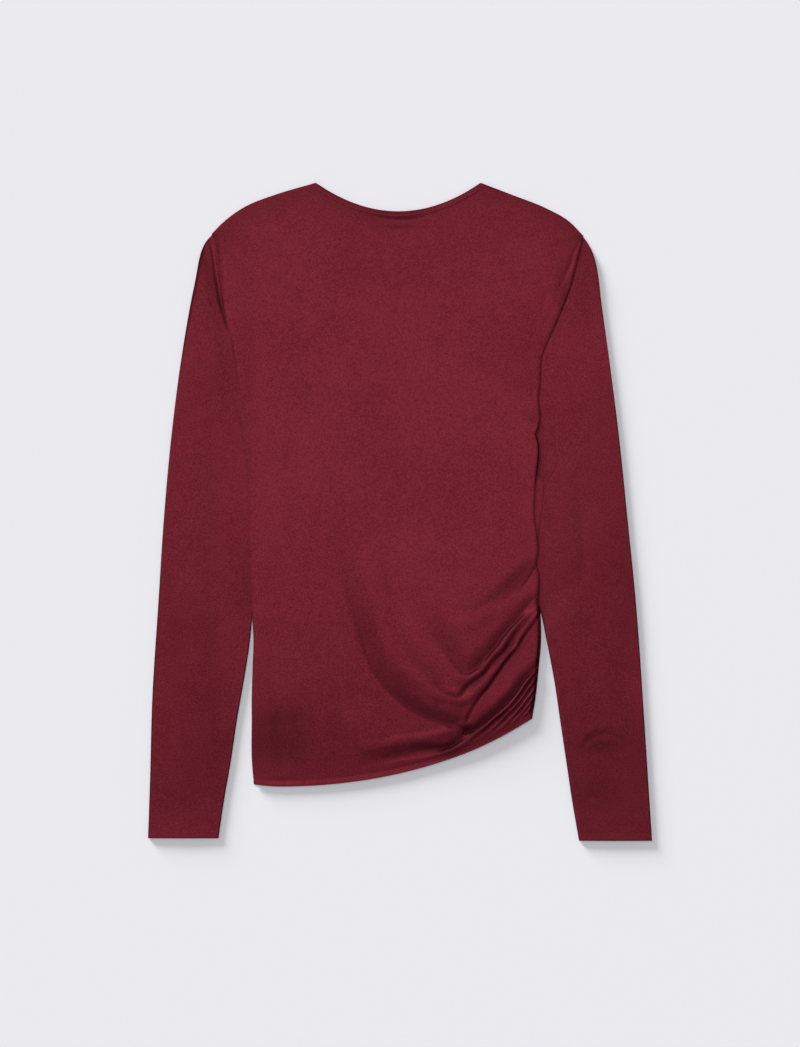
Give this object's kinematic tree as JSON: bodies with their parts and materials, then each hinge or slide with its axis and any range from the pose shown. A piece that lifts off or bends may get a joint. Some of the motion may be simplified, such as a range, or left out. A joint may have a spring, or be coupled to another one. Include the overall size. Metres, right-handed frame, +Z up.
{
  "type": "long-sleeved jersey top laid flat",
  "caption": "Fitted long-sleeved jersey top laid flat, back up, with a wide curved neck, open cuffs and a slanting hem gathered into folds on its right side.",
  "frame": {"origin": "middle of the laid-out top's footprint, on the surface that it lies on", "axes": "+X across the chest to the gathered side, +Y from the hem to the neck, +Z up, out of the upper face, which is the back"},
  "size_m": [0.514, 0.6714, 0.0137],
  "materials": {
    "jersey_body": "fine burgundy jersey knit, soft satin sheen",
    "jersey_sleeves": "fine burgundy jersey knit, soft satin sheen"
  },
  "bodies": {
    "root": {"back_panel": "jersey_body", "front_panel": "jersey_body", "sleeve_left": "jersey_sleeves", "sleeve_right": "jersey_sleeves"}
  },
  "joints": []
}
